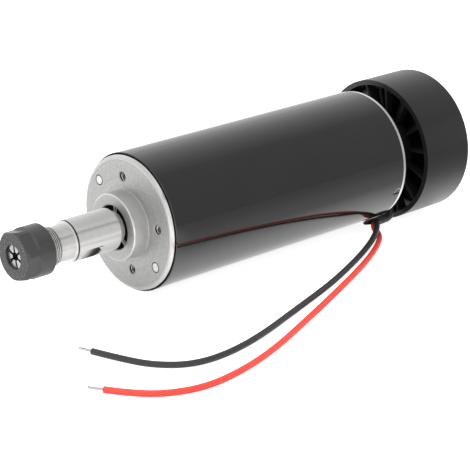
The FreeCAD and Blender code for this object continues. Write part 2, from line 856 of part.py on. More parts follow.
def fan_clip():
    clip = ring(fan_rear_x + fit_clear, fan_rear_x + fan_clip_t - fit_clear, fan_clip_d / 2,
                bearing_bore / 2 - fan_clip_groove + fit_clear)
    half = bearing_bore / 2 - fan_clip_grip
    gap = block(fan_rear_x, fan_rear_x + fan_clip_t, 0, fan_clip_d, -half, half)
    return clip.cut(gap)


# Leads, sleeve and grommet, all laid out in the radial plane of the lead hole
def sleeve_outer_h():
    return sleeve_inner_h + 2 * sleeve_wall


def sleeve_outer_w():
    return sleeve_outer_h() + lead_pitch


def lead_run_r():
    """Radius of the sleeve's centre line along the tube."""
    return body_r + sleeve_tube_gap + sleeve_outer_h() / 2


def lead_hole_r():
    """Radius of the lead hole's centre in the rear bell."""
    return spigot_r - lead_hole_edge - grommet_wall - sleeve_outer_h() / 2


def turn_r():
    return (lead_run_r() - lead_hole_r()) / 2


def turn_x():
    return rear_flange_x + sleeve_turn_set


def sleeve_mouth_x():
    return rear_flange_x - sleeve_mouth_set


def oval_face(width, height, x, r):
    """Flat oval, width across the radius, height along it, drawn at +Y."""
    half = height / 2
    side = (width - height) / 2
    top = Part.Arc(Vector(x, r - half, side), Vector(x, r, side + half), Vector(x, r + half, side))
    down = Part.LineSegment(Vector(x, r + half, side), Vector(x, r + half, -side))
    low = Part.Arc(Vector(x, r + half, -side), Vector(x, r, -side - half), Vector(x, r - half, -side))
    up = Part.LineSegment(Vector(x, r - half, -side), Vector(x, r - half, side))
    return Part.Face(Part.Wire([top.toShape(), down.toShape(), low.toShape(), up.toShape()]))


def flat_oval(width, height, x0, x1, r):
    """Straight bar of flat oval section at the leads' angle."""
    return turn(oval_face(width, height, x0, r).extrude(Vector(x1 - x0, 0, 0)), lead_phase_deg)


def hairpin(face, x_in, x_out):
    """Section run back from x_in, turned over, and forward to x_out."""
    centre = Vector(turn_x(), lead_hole_r() + turn_r(), 0)
    back = face(x_in, lead_hole_r()).extrude(Vector(turn_x() - x_in, 0, 0))
    bend = face(turn_x(), lead_hole_r()).revolve(centre, Vector(0, 0, 1), 180)
    front = face(x_out, lead_run_r()).extrude(Vector(turn_x() - x_out, 0, 0))
    return turn(back.fuse([bend, front]).removeSplitter(), lead_phase_deg)


def many_sided_oval(width, height, x, r):
    """Flat oval whose round ends are made of straight sides."""
    side = (width - height) / 2
    corners = []
    for end in (1, -1):
        for i in range(sleeve_sides + 1):
            a = math.pi * i / sleeve_sides
            corners.append(Vector(x, r + end * height / 2 * math.cos(a),
                                  end * (side + height / 2 * math.sin(a))))
    return Part.Face(Part.makePolygon(corners + corners[:1]))


def cable_sleeve():
    tongue_x = sleeve_mouth_x() - sleeve_tongue_l
    start_x = rear_flange_x - sleeve_hole_depth

    def outer(x, r):
        return many_sided_oval(sleeve_outer_w(), sleeve_outer_h(), x, r)

    def inner(x, r):
        return many_sided_oval(sleeve_inner_h + lead_pitch, sleeve_inner_h, x, r)

    sleeve = hairpin(outer, start_x, tongue_x).cut(hairpin(inner, start_x, tongue_x))
    low_r = lead_run_r() - sleeve_bias_depth
    top_r = lead_run_r() + sleeve_outer_w()
    half_w = sleeve_outer_w()
    low_x = sleeve_mouth_x() - sleeve_bias_set
    bias = Part.makePolygon([Vector(tongue_x - half_w, low_r, -half_w),
                             Vector(low_x, low_r, -half_w),
                             Vector(low_x + sleeve_bias_run, top_r, -half_w),
                             Vector(tongue_x - half_w, top_r, -half_w),
                             Vector(tongue_x - half_w, low_r, -half_w)])
    cut = Part.Face(bias).extrude(Vector(0, 0, 2 * half_w))
    return sleeve.cut(turn(cut, lead_phase_deg))


def lead_grommet():
    outer_w = sleeve_outer_w() + 2 * grommet_wall - 2 * fit_clear
    outer_h = sleeve_outer_h() + 2 * grommet_wall - 2 * fit_clear
    body = flat_oval(outer_w, outer_h, rear_flange_x - sleeve_hole_depth, rear_flange_x, lead_hole_r())
    lip = flat_oval(outer_w + 2 * grommet_lip, outer_h + 2 * grommet_lip, rear_flange_x,
                    rear_flange_x + grommet_lip_t, lead_hole_r())
    hole = flat_oval(sleeve_outer_w() + 2 * fit_clear, sleeve_outer_h() + 2 * fit_clear,
                     rear_flange_x - sleeve_hole_depth, rear_flange_x + grommet_lip_t, lead_hole_r())
    return body.fuse(lip).cut(hole)


def lead_tail(side):
    """Lead from the brush plate through the hairpin to the free lead."""
    offset = side * lead_pitch / 2

    def section(x, r):
        circle = Part.Circle(Vector(x, r, offset), Vector(1, 0, 0), lead_d / 2)
        return Part.Face(Part.Wire(circle.toShape()))

    return hairpin(section, rear_inside_x, tail_end_x())


def tail_end_x():
    return sleeve_mouth_x() + tail_mouth_set


def lead_start(side):
    """Centre of the free lead's first face, inside the sleeve's mouth."""
    y = lead_run_r()
    z = side * lead_pitch / 2
    deg = math.radians(lead_phase_deg)
    return Vector(tail_end_x(), y * math.cos(deg) - z * math.sin(deg),
                  y * math.sin(deg) + z * math.cos(deg))


def free_lead(name, points):
    """Tube of straight runs joined by tangent arcs, each as large as its runs allow."""
    edges = []
    last = points[0]
    length = 0.0
    radii = []
    for before, here, after in zip(points, points[1:], points[2:]):
        a = before - here
        b = after - here
        bend = math.pi - a.getAngle(b)
        reach = 0.45 * min(a.Length, b.Length)
        radius = reach / math.tan(bend / 2)
        a.normalize()
        b.normalize()
        start = here + a * reach
        end = here + b * reach
        middle = a + b
        middle.normalize()
        centre_gap = radius / math.cos(bend / 2)
        mid = here + middle * (centre_gap - radius)
        edges.append(Part.LineSegment(last, start).toShape())
        edges.append(Part.Arc(start, mid, end).toShape())
        length += (start - last).Length + radius * bend
        radii.append(round(radius, 1))
        last = end
    edges.append(Part.LineSegment(last, points[-1]).toShape())
    length += (points[-1] - last).Length
    path = Part.Wire(edges)
    heading = points[1] - points[0]
    section = Part.Wire(Part.Circle(points[0], heading, lead_d / 2).toShape())
    tube = path.makePipeShell([section], True, False)
    expected = math.pi * (lead_d / 2) ** 2 * length
    print("%s length %.1f  volume ratio %.4f  radii %s" % (name, length, tube.Volume / expected, radii))
    return tube


def lead_tip(points):
    """Tinned end in line with the last run."""
    heading = points[-1] - points[-2]
    heading.normalize()
    return Part.makeCylinder(tip_d / 2, tip_l, points[-1], heading)


def main():
    os.makedirs("parts", exist_ok=True)
    save("motor_tube", motor_tube())
    save("front_bell", front_bell())
    save("rear_bell", rear_bell())
    save("through_bolts", through_bolts())
    for place, x in (("front", front_bearing_x), ("rear", rear_bearing_x)):
        outer, inner, balls, cage = bearing_parts(x)
        save(place + "_outer_race", outer)
        save(place + "_inner_race", inner)
        save(place + "_balls", balls)
        save(place + "_ball_cage", cage)
    save("bearing_clip", bearing_clip())
    save("preload_washer", preload_washer())
    save("motor_shaft", motor_shaft())
    save("armature_core", armature_core())
    save("windings", windings())
    save("commutator_hub", commutator_hub())
    save("commutator_bars", commutator_bars())
    save("magnet_left", magnet(bolt_phase_deg + 90))
    save("magnet_right", magnet(bolt_phase_deg - 90))
    save("brush_plate", brush_plate())
    save("brush_holder_upper", brush_holder())
    save("brush_holder_lower", below(brush_holder()))
    save("brush_upper", brush())
    save("brush_lower", below(brush()))
    save("brush_spring_upper", brush_spring())
    save("brush_spring_lower", below(brush_spring()))
    save("collet_holder", collet_holder())
    save("collet", collet())
    save("collet_nut", collet_nut())
    save("fan_hood", fan_hood())
    save("hood_screws", hood_screws())
    save("cooling_fan", cooling_fan())
    save("fan_clip", fan_clip())
    save("lead_grommet", lead_grommet())
    save("cable_sleeve", cable_sleeve())
    for colour, side, route in (("black", -1, black_route), ("red", 1, red_route)):
        points = [lead_start(side)] + [Vector(*p) for p in route]
        save(colour + "_lead_tail", lead_tail(side))
        save(colour + "_lead", free_lead(colour, points))
        save(colour + "_lead_tip", lead_tip(points))


main()
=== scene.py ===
import math

import bmesh
import bpy
from mathutils import Matrix, Vector


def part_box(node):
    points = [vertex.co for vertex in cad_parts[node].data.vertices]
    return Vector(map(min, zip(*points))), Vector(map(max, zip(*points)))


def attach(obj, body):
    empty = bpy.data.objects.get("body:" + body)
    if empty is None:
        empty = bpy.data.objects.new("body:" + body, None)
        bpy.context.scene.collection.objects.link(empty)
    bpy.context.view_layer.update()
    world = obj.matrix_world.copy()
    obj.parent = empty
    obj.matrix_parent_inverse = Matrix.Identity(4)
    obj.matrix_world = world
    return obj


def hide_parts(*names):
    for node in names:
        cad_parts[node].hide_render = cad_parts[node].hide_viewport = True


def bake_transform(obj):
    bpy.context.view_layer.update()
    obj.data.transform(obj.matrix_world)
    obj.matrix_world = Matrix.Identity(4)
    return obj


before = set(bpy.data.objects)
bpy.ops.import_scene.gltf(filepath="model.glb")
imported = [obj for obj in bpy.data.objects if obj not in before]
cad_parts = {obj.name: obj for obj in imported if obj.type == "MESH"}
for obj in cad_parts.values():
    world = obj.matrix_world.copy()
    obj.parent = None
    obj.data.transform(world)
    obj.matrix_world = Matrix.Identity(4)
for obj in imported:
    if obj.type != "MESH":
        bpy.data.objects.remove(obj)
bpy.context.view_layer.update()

MM = 0.001


def box_mm(node):
    """Lowest and highest corner of a node at rest, in mm."""
    return [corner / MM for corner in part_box(node)]


# Places and sizes that looks and details follow, in mm, from the frame where a node's box gives them
tube_low, tube_high = box_mm("motor_tube")
nut_low, nut_high = box_mm("collet_nut")
TUBE_FRONT_X, TUBE_REAR_X, TUBE_R = tube_low.x, tube_high.x, tube_high.z
BETWEEN_BELLS_X = (TUBE_FRONT_X + TUBE_REAR_X) / 2
FLANGE_R = TUBE_R - 0.65
REAR_RIM_X = TUBE_REAR_X + 1.7
BOSS_X, BOSS_R = box_mm("front_bell")[0].x, 12.6
OPENING_R = 8.25
BOLT_R, BOLT_PCD, BOLT_DEG = 1.75, 2 * (TUBE_R - 5.7), 38.3
TAP_R, TAP_PCD, TAP_DEG = 1.65, 35.0, 82.5
NOSE_REAR_X = BOSS_X - 1.9
NOSE_FRONT_X = NOSE_REAR_X - 19.9
FLAT_REAR_X = NOSE_REAR_X - 8.2
FLAT_FRONT_X = FLAT_REAR_X - 8.4
FLAT_R, FLAT_DEG = 7.05, -137.0
THREAD_REAR_X, THREAD_R = NOSE_FRONT_X - 5.7, 6.95
NUT_FACE_X, NUT_REAR_X = nut_low.x, nut_high.x
HOOD_INNER_R = box_mm("fan_hood")[1].z - 2.0
LEAD_D = 2.3
TIP_D, TIP_L = 1.1, 5.6


# Small helpers

def polar(x, r, deg):
    """Point in metres from mm along the axis, mm of radius and an angle from +Y towards +Z."""
    a = math.radians(deg)
    return Vector((x * MM, r * MM * math.cos(a), r * MM * math.sin(a)))


def new_object(name, data):
    obj = bpy.data.objects.new(name, data)
    bpy.context.scene.collection.objects.link(obj)
    return obj


def smooth_faces(mesh):
    mesh.polygons.foreach_set("use_smooth", [True] * len(mesh.polygons))


def link(name, data, material, body, smooth=True):
    """New piece from mesh or curve data, riding on a body."""
    obj = new_object(name, data)
    data.materials.append(material)
    if smooth and hasattr(data, "polygons"):
        smooth_faces(data)
    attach(obj, body)
    return obj


def mesh_from(name, verts, faces):
    mesh = bpy.data.meshes.new(name)
    mesh.from_pydata([tuple(v) for v in verts], [], faces)
    mesh.validate()
    return mesh


def face_outward(mesh, weld=0.0):
    """Turns the faces outward, after welding vertices that are closer than a distance in metres."""
    bm = bmesh.new()
    bm.from_mesh(mesh)
    if weld:
        bmesh.ops.remove_doubles(bm, verts=bm.verts, dist=weld)
    bmesh.ops.recalc_face_normals(bm, faces=bm.faces)
    bm.to_mesh(mesh)
    bm.free()
    return mesh


def tube_faces(rings, per_ring, looped=False):
    """Faces of a tube whose vertices come ring by ring, with capped ends or closed to a loop."""
    faces = []
    for i in range(rings if looped else rings - 1):
        a, b = i * per_ring, (i + 1) % rings * per_ring
        for k in range(per_ring):
            n = (k + 1) % per_ring
            faces.append((a + k, a + n, b + n, b + k))
    if not looped:
        faces.append(tuple(reversed(range(per_ring))))
        faces.append(tuple(range((rings - 1) * per_ring, rings * per_ring)))
    return faces


def ring_places(count, pcd, phase):
    """Centres (y, z) in mm of a pattern of holes."""
    angles = [math.radians(phase + 360 * k / count) for k in range(count)]
    return [(pcd / 2 * math.cos(a), pcd / 2 * math.sin(a)) for a in angles]


bolts = ring_places(2, BOLT_PCD, BOLT_DEG)
taps = ring_places(4, TAP_PCD, TAP_DEG)


# Node trees

class Nodes:
    """Short ways to add nodes to a tree."""

    def __init__(self, tree):
        self.tree = tree

    def node(self, kind, **values):
        n = self.tree.nodes.new(kind)
        for key, value in values.items():
            setattr(n, key, value)
        return n

    def join(self, a, b):
        self.tree.links.new(a, b)

    def feed(self, target, value):
        """Gives an input a link, a colour or a number."""
        if isinstance(value, bpy.types.NodeSocket):
            self.join(value, target)
        elif isinstance(value, tuple):
            target.default_value = (*value, 1)
        else:
            target.default_value = value

    def math(self, op, a, b=0.0, clamp=False):
        m = self.node("ShaderNodeMath", operation=op, use_clamp=clamp)
        self.feed(m.inputs[0], a)
        self.feed(m.inputs[1], b)
        return m.outputs[0]

    def times(self, a, b, clamp=False):
        return self.math("MULTIPLY", a, b, clamp)

    def inverse(self, a, clamp=False):
        return self.math("SUBTRACT", 1.0, a, clamp)

    def rise(self, value, low, high):
        """0 at one number and 1 at another, straight between them and level beyond."""
        return self.math("DIVIDE", self.math("SUBTRACT", value, low), high - low, True)

    def band(self, value, start, full, last, end):
        """Rises from start to full and falls from last to end."""
        return self.times(self.rise(value, start, full), self.rise(value, end, last))

    def mix(self, fac, a, b):
        m = self.node("ShaderNodeMix", data_type="RGBA")
        self.feed(m.inputs[0], fac)
        self.feed(m.inputs[6], a)
        self.feed(m.inputs[7], b)
        return m.outputs[2]

    def ramp(self, fac, stops):
        """Ramp of stops (place, value), where a value is a grey or a colour."""
        r = self.node("ShaderNodeValToRGB")
        while len(r.color_ramp.elements) < len(stops):
            r.color_ramp.elements.new(0.5)
        for element, (place, value) in zip(r.color_ramp.elements, stops):
            element.position = place
            element.color = (*value, 1) if isinstance(value, tuple) else (value, value, value, 1)
        self.join(fac, r.inputs["Fac"])
        return r.outputs["Color"]

    def split(self, vector):
        """The three parts of a vector."""
        s = self.node("ShaderNodeSeparateXYZ")
        self.join(vector, s.inputs[0])
        return s.outputs

    def coordinates(self, kind):
        return self.node("ShaderNodeTexCoord").outputs[kind]

    def rays(self):
        """Camera rays, glossy rays, and both with transmission rays: all but those that light things."""
        path = self.node("ShaderNodeLightPath").outputs
        camera, glossy = path["Is Camera Ray"], path["Is Glossy Ray"]
        either = self.math("MAXIMUM", camera, glossy)
        return camera, glossy, self.math("MAXIMUM", either, path["Is Transmission Ray"])


# Materials

def grey(v):
    return (v, v, v)


class Looks(Nodes):
    """A Principled material with a few procedural layers."""

    def __init__(self, name, base, roughness, metallic=0.0):
        self.material = bpy.data.materials.new(name)
        self.material.use_nodes = True
        super().__init__(self.material.node_tree)
        self.shader = self.tree.nodes["Principled BSDF"]
        self.socket("Base Color", (*base, 1))
        self.socket("Roughness", roughness)
        self.socket("Metallic", metallic)
        self.coords = self.coordinates("Object")
        self.height = None

    def socket(self, name, value):
        self.shader.inputs[name].default_value = value

    def colour(self, value):
        self.join(value, self.shader.inputs["Base Color"])

    def roughness(self, value):
        self.join(value, self.shader.inputs["Roughness"])

    def bump(self, height, distance, strength=1.0):
        """Adds one layer of bump, distance in mm."""
        b = self.node("ShaderNodeBump")
        b.inputs["Strength"].default_value = strength
        b.inputs["Distance"].default_value = distance * MM
        self.join(height, b.inputs["Height"])
        if self.height is not None:
            self.join(self.height, b.inputs["Normal"])
        self.height = b.outputs["Normal"]
        self.join(self.height, self.shader.inputs["Normal"])

    def stretched(self, scale):
        """Object coordinates times a scale for each axis."""
        m = self.node("ShaderNodeMapping")
        self.join(self.coords, m.inputs["Vector"])
        m.inputs["Scale"].default_value = scale
        return m.outputs["Vector"]

    def noise(self, scale, detail=4.0, rough=0.6, stretch=None):
        n = self.node("ShaderNodeTexNoise")
        self.join(self.stretched(stretch) if stretch else self.coords, n.inputs["Vector"])
        n.inputs["Scale"].default_value = scale
        n.inputs["Detail"].default_value = detail
        n.inputs["Roughness"].default_value = rough
        return n.outputs["Fac"]

    def rings(self, radius, scale):
        """Fine tool marks, alike all round the axis."""
        v = self.node("ShaderNodeCombineXYZ")
        self.join(radius, v.inputs[0])
        n = self.node("ShaderNodeTexNoise")
        self.join(v.outputs[0], n.inputs["Vector"])
        n.inputs["Scale"].default_value = scale
        return n.outputs["Fac"]

    def axial(self):
        """Place along the axis, in metres."""
        return self.split(self.coords)[0]

    def square(self, place=(0.0, 0.0)):
        """Squared distance in metres from a line along the axis at (y, z) in mm."""
        _, y, z = self.split(self.coords)
        dy = self.math("SUBTRACT", y, place[0] * MM)
        dz = self.math("SUBTRACT", z, place[1] * MM)
        return self.math("ADD", self.times(dy, dy), self.times(dz, dz))

    def radius(self):
        """Distance from the axis, in metres."""
        return self.math("SQRT", self.square())

    def near(self, place, radius):
        """1 within a radius (mm) of a line along the axis at (y, z) in mm."""
        return self.math("LESS_THAN", self.square(place), (radius * MM) ** 2)

    def along(self, deg, either_way=True):
        """Distance in metres from the axis towards an angle, counted from +Y towards +Z."""
        _, y, z = self.split(self.coords)
        a = math.radians(deg)
        dot = self.math("ADD", self.times(y, math.cos(a)), self.times(z, math.sin(a)))
        return self.math("ABSOLUTE", dot) if either_way else dot

    def under(self, value, limit):
        """1 where a value in metres is less than a limit in mm."""
        return self.math("LESS_THAN", value, limit * MM)

    def below(self, value, high, soft):
        """1 below a limit (mm), falling to 0 over soft (mm)."""
        return self.rise(value, (high + soft / 2) * MM, (high - soft / 2) * MM)

    def above(self, value, low, soft):
        """1 above a limit (mm), falling to 0 over soft (mm)."""
        return self.rise(value, (low - soft / 2) * MM, (low + soft / 2) * MM)

    def between(self, value, low, high, soft):
        """1 between two limits (mm), falling to 0 over soft (mm)."""
        return self.times(self.above(value, low, soft), self.below(value, high, soft))


def black_enamel():
    m = Looks("black_enamel", grey(0.006), 0.1)
    m.socket("IOR", 1.8)
    m.colour(m.ramp(m.noise(30, 3), [(0.3, 0.005), (0.7, 0.009)]))
    m.roughness(m.ramp(m.noise(260, 5), [(0.3, 0.07), (0.75, 0.13)]))
    m.bump(m.noise(500, 2), 0.004, 0.2)
    return m.material


def cast_aluminium(name, turned_tone):
    """Grained casting with turned rims painted brighter as a painted highlight, a bright side on the boss,
    and painted shade in the holes, round the bolt ends, on the opening's wall and in a band on the rear rim.
    """
    m = Looks(name, (0.5, 0.5, 0.49), 0.45, 1.0)
    x, r = m.axial(), m.radius()
    grain = m.noise(900, 6, 0.7)
    tones = [(0.25, (0.34, 0.34, 0.334)), (0.5, (0.49, 0.49, 0.481)), (0.75, (0.64, 0.64, 0.63))]
    mottle = m.ramp(m.noise(140, 4), [(0.35, 0.0), (0.7, 0.35)])
    body = m.mix(mottle, m.ramp(grain, tones), (0.55, 0.55, 0.54))
    rings = m.ramp(m.rings(r, 1300), [(0.35, 0.0), (0.65, 0.35)])
    body = m.mix(m.times(rings, m.under(x, 0.3)), body, (0.30, 0.30, 0.294))

    # Turned rims: smoother turned metal, also painted brighter as a painted highlight.
    edge = m.between(r, TUBE_R - 1.7, TUBE_R + 0.5, 1.5)
    rim = m.between(r, BOSS_R - 0.45, BOSS_R + 0.15, 0.2)
    off_face = m.between(x, BOSS_X + 0.5, BETWEEN_BELLS_X, 0.3)
    turned = m.math("MAXIMUM", edge, m.times(rim, m.inverse(off_face, True)))
    side = m.times(m.between(r, BOSS_R - 0.6, BOSS_R + 0.15, 0.1), m.between(x, BOSS_X + 0.35, -0.3, 0.3))
    body = m.mix(m.times(side, 0.55), body, (0.86, 0.855, 0.84))

    colour = m.mix(turned, body, (turned_tone, turned_tone, turned_tone * 0.99))
    # Painted shade: a dark band round the rear rim, next to the hood.
    colour = m.mix(m.between(x, REAR_RIM_X - 0.65, REAR_RIM_X - 0.1, 0.1), colour, grey(0.06))
    # Painted shade inside the tapped holes.
    inside = m.between(x, 0.12, BETWEEN_BELLS_X, 0.1)
    for place in taps:
        colour = m.mix(m.times(m.near(place, TAP_R + 0.05), inside), colour, grey(0.03))
    # Painted shadow: a dark ring round each bolt end.
    for place in bolts:
        colour = m.mix(m.near(place, BOLT_R + 0.3), colour, (0.07, 0.07, 0.068))
    # Painted shade on the opening's wall, broken up by noise.
    toothed_painted_shade = m.ramp(m.noise(800, 2), [(0.48, 0.02), (0.56, (0.42, 0.42, 0.41))])
    m.colour(m.mix(m.under(r, OPENING_R + 0.11), colour, toothed_painted_shade))

    m.roughness(m.mix(turned, m.ramp(grain, [(0.3, 0.42), (0.7, 0.58)]), grey(0.24)))
    m.bump(m.times(grain, m.inverse(m.times(turned, 0.85))), 0.10, 0.5)
    m.bump(m.noise(420, 3, 0.5, (0.2, 1, 1)), 0.05, 0.3)
    return m.material


def ground_steel():
    """Fine lines round the axis, with painted light and shade: shade on the flats, a highlight and a dark
    ring at the front shoulder, a darker band at the thread's end, and shade at the thread root.
    """
    m = Looks("ground_steel", (0.70, 0.70, 0.69), 0.2, 1.0)
    x, r = m.axial(), m.radius()
    lines = m.noise(1.0, 5, 0.7, (5200, 90, 90))
    colour = m.ramp(lines, [(0.3, (0.74, 0.74, 0.73)), (0.7, (0.88, 0.88, 0.87))])
    colour = m.mix(m.ramp(m.noise(160, 4), [(0.4, 0.0), (0.8, 0.3)]), colour, (0.70, 0.70, 0.69))

    length = m.between(x, FLAT_FRONT_X + 0.05, FLAT_REAR_X - 0.05, 0.1)
    plane = (FLAT_R - 0.07, FLAT_R + 0.07, 0.04)
    both_flats = m.times(m.between(m.along(FLAT_DEG), *plane), length)
    near_flat = m.times(m.between(m.along(FLAT_DEG, False), *plane), length)
    # Painted shade on the near flat, standing in for the dark underside it reflects, darkest at its rear end.
    shade = m.ramp(m.rise(x, FLAT_FRONT_X * MM, FLAT_REAR_X * MM),
                   [(0.0, 0.80), (0.35, 0.50), (0.5, 0.18), (0.62, 0.04), (1.0, 0.02)])
    colour = m.mix(both_flats, colour, (0.50, 0.50, 0.49))
    colour = m.mix(near_flat, colour, shade)

    # A painted highlight at the nose's front shoulder, a dark painted ring behind it as the shade of a
    # groove, and a darker band at the thread's rear end.
    for low, high, tone in (
        (NOSE_FRONT_X - 0.05, NOSE_FRONT_X + 0.4, 0.97),
        (NOSE_FRONT_X + 0.45, NOSE_FRONT_X + 1.1, 0.06),
        (THREAD_REAR_X - 0.25, THREAD_REAR_X, 0.35),
    ):
        colour = m.mix(m.between(x, low, high, 0.12), colour, grey(tone))
    # Painted shade at the thread root, between the ridges.
    root = m.times(m.between(x, NUT_REAR_X - 0.1, THREAD_REAR_X - 0.4, 0.12), m.under(r, THREAD_R + 0.09))
    m.colour(m.mix(root, colour, grey(0.22)))

    m.roughness(m.mix(both_flats, m.ramp(lines, [(0.3, 0.40), (0.7, 0.47)]), grey(0.7)))
    m.socket("Anisotropic", 1.0)
    m.socket("Anisotropic Rotation", 0.25)
    tangent = m.node("ShaderNodeTangent", direction_type="RADIAL", axis="X")
    m.join(tangent.outputs[0], m.shader.inputs["Tangent"])
    m.bump(lines, 0.02, 0.5)
    return m.material


def bolt_ends():
    """Bare steel, its chamfered edge painted darker than the face as painted shade."""
    m = Looks("bolt_ends", grey(0.8), 0.34, 1.0)
    grain = m.noise(1100, 5, 0.7)
    face = m.ramp(grain, [(0.35, (0.50, 0.50, 0.495)), (0.65, (0.90, 0.90, 0.89))])
    # Painted shade: the chamfer darker than the face.
    faces = m.math("MAXIMUM", *[m.near(place, BOLT_R - 0.2) for place in bolts])
    m.colour(m.mix(faces, (0.30, 0.30, 0.295), face))
    m.roughness(m.ramp(grain, [(0.3, 0.27), (0.7, 0.44)]))
    m.bump(grain, 0.03, 0.4)
    return m.material


def black_oxide():
    """Black nut, satin on its side, rough and speckled on its front face."""
    m = Looks("black_oxide", grey(0.05), 0.32, 0.15)
    m.socket("IOR", 1.65)
    face = m.below(m.axial(), NUT_FACE_X + 0.15, 0.2)
    grain = m.noise(1100, 5, 0.7)
    side = m.ramp(grain, [(0.3, 0.034), (0.7, (0.047, 0.047, 0.046))])
    side = m.mix(m.ramp(m.noise(190, 4), [(0.4, 0.0), (0.75, 0.3)]), side, (0.055, 0.055, 0.054))
    speckle = [(0.38, 0.030), (0.58, (0.055, 0.055, 0.054)), (0.70, (0.26, 0.26, 0.255))]
    m.colour(m.mix(face, side, m.ramp(m.noise(1900, 2, 0.5), speckle)))
    m.roughness(m.mix(face, m.ramp(grain, [(0.3, 0.28), (0.7, 0.33)]), grey(0.55)))
    m.bump(m.times(grain, m.math("ADD", m.times(face, 0.8), 0.2)), 0.03, 0.3)
    return m.material


def collet_steel():
    """Grey steel, with painted shade as dark lines beside the slots that make them look wider."""
    m = Looks("collet_steel", (0.6, 0.6, 0.59), 0.34, 1.0)
    grain = m.noise(1300, 5, 0.7)
    colour = m.ramp(grain, [(0.3, (0.34, 0.34, 0.335)), (0.7, (0.66, 0.66, 0.65))])
    # Painted shade: near-black lines beside the slots.
    line_half_w = 0.31
    for deg in (105, 165, 225):
        colour = m.mix(m.under(m.along(deg), line_half_w), colour, grey(0.004))
    m.colour(colour)
    m.roughness(m.ramp(grain, [(0.3, 0.28), (0.7, 0.45)]))
    m.bump(grain, 0.03, 0.4)
    return m.material


def hood_plastic():
    """Black moulding, satin outside, and painted darker among the ribs as painted shade."""
    m = Looks("hood_black", grey(0.02), 0.30)
    outside = m.above(m.radius(), HOOD_INNER_R - 0.1, 0.1)
    cloud = m.ramp(m.noise(45, 3), [(0.3, 0.009), (0.7, 0.013)])
    # Painted shade: near-black among the ribs inside the hood.
    m.colour(m.mix(outside, grey(0.004), cloud))
    fine = m.noise(2600, 4)
    m.roughness(m.mix(outside, grey(0.62), m.ramp(fine, [(0.3, 0.27), (0.7, 0.35)])))
    m.bump(fine, 0.012, 0.3)
    return m.material


def void_black():
    """Near-black that throws back next to nothing, used as painted shade in gaps, slits and the joint line.
    """
    m = Looks("void_black", grey(0.002), 0.9)
    m.socket("IOR", 1.15)
    m.colour(m.ramp(m.noise(300, 3), [(0.3, 0.0015), (0.7, 0.004)]))
    return m.material


def moulded_black(name, base, rough, grain_mm=0.25):
    m = Looks(name, grey(base), rough)
    fine = m.noise(1.0 / (grain_mm * MM), 4)
    light = (base * 1.15, base * 1.15, base * 1.14)
    m.colour(m.ramp(m.noise(45, 3), [(0.3, base * 0.88), (0.7, light)]))
    m.roughness(m.ramp(fine, [(0.3, rough - 0.05), (0.7, rough + 0.07)]))
    m.bump(fine, 0.02, 0.3)
    return m.material


def shrink_sleeving():
    m = Looks("shrink_sleeving", grey(0.022), 0.42)
    folds = m.noise(330, 4, 0.55, (1.6, 1, 1))
    m.colour(m.ramp(folds, [(0.3, 0.016), (0.75, 0.040)]))
    m.roughness(m.ramp(m.noise(900, 3), [(0.3, 0.34), (0.7, 0.52)]))
    m.bump(folds, 0.22, 0.6)
    return m.material


def insulation(name, colour, rough):
    m = Looks(name, colour, rough)
    dark = tuple(c * 0.88 for c in colour)
    m.colour(m.ramp(m.noise(240, 3), [(0.3, dark), (0.7, colour)]))
    m.roughness(m.ramp(m.noise(1200, 3), [(0.3, rough - 0.05), (0.7, rough + 0.08)]))
    m.bump(m.noise(1500, 3), 0.012, 0.3)
    return m.material


def plain_metal(name, low, high, rough, grain=900, stretch=None):
    """Bare metal with a fine grain between two tones."""
    m = Looks(name, high, rough, 1.0)
    g = m.noise(grain, 5, 0.65, stretch)
    m.colour(m.ramp(g, [(0.3, low), (0.7, high)]))
    m.roughness(m.ramp(g, [(0.3, max(rough - 0.07, 0.05)), (0.7, rough + 0.1)]))
    m.bump(g, 0.015, 0.4)
    return m.material


def dull(name, low, high, rough, grain=700):
    """Non-metal with a grain between two tones."""
    m = Looks(name, high, rough)
    g = m.noise(grain, 5, 0.65)
    m.colour(m.ramp(g, [(0.3, low), (0.7, high)]))
    m.roughness(m.ramp(g, [(0.3, rough - 0.06), (0.7, rough + 0.08)]))
    m.bump(g, 0.03, 0.4)
    return m.material


enamel = black_enamel()
cast = cast_aluminium("cast_aluminium", 0.72)
# The rear bell's copy paints its turned rims brighter still, a stronger painted highlight.
cast_rear = cast_aluminium("cast_rear", 0.88)
steel = ground_steel()
oxide = black_oxide()
jaw = collet_steel()
hood_black = hood_plastic()
void = void_black()
fan_black = moulded_black("fan_black", 0.006, 0.6)
sleeving = shrink_sleeving()
grommet_black = moulded_black("grommet_black", 0.020, 0.55, 0.2)
insulation_black = insulation("insulation_black", (0.034, 0.034, 0.035), 0.42)
insulation_red = insulation("insulation_red", (0.95, 0.070, 0.045), 0.40)
tinned = plain_metal("tinned_copper", grey(0.55), grey(0.86), 0.28, 1600)
bolt_steel = bolt_ends()
bright_steel = plain_metal("bright_steel", grey(0.84), grey(0.97), 0.34, 1400)
race_steel = plain_metal("race_steel", grey(0.50), grey(0.64), 0.18, 1.0, (3000, 80, 80))
ball_steel = plain_metal("ball_steel", grey(0.74), grey(0.82), 0.08, 500)
spring_steel = plain_metal("spring_steel", grey(0.40), grey(0.55), 0.25, 1500)
dark_steel = plain_metal("dark_steel", grey(0.10), grey(0.18), 0.38)
lamination = plain_metal("lamination", grey(0.16), grey(0.34), 0.45, 1.0, (2000, 40, 40))
copper_wire = plain_metal("copper_wire", (0.42, 0.14, 0.06), (0.66, 0.27, 0.13), 0.30, 1.0, (300, 1400, 1400))
copper_bar = plain_metal("copper_bar", (0.62, 0.28, 0.16), (0.80, 0.44, 0.28), 0.24, 1.0, (4000, 80, 80))
brass = plain_metal("brass", (0.58, 0.42, 0.16), (0.80, 0.62, 0.28), 0.28)
ferrite = dull("ferrite", grey(0.035), grey(0.075), 0.55)
laminate = dull("laminate", (0.20, 0.09, 0.035), (0.34, 0.17, 0.07), 0.5, 500)
carbon = dull("carbon", grey(0.025), grey(0.055), 0.5, 1200)
